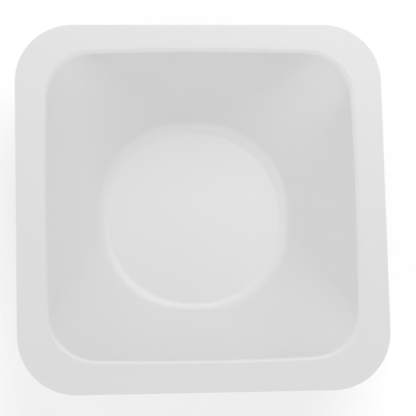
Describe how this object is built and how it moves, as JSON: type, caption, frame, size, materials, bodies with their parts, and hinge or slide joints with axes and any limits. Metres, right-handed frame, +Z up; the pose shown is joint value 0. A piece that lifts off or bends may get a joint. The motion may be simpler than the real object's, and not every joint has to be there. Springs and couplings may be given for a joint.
{
  "type": "weighing boat",
  "caption": "Square white polystyrene weighing boat: a flat rim, four sloping walls and a round flat base, for weighing out powders and liquids.",
  "frame": {"origin": "under the middle of the rim's cut outline, on the surface that the base stands on", "axes": "+Z up, out of the open well; +X and +Y along the sides of the rim, with the well 0.6 mm off the rim's middle towards +Y"},
  "size_m": [0.089, 0.089, 0.025],
  "materials": {
    "polystyrene": "satin"
  },
  "bodies": {
    "root": {"weighing_boat": "polystyrene"}
  },
  "joints": []
}
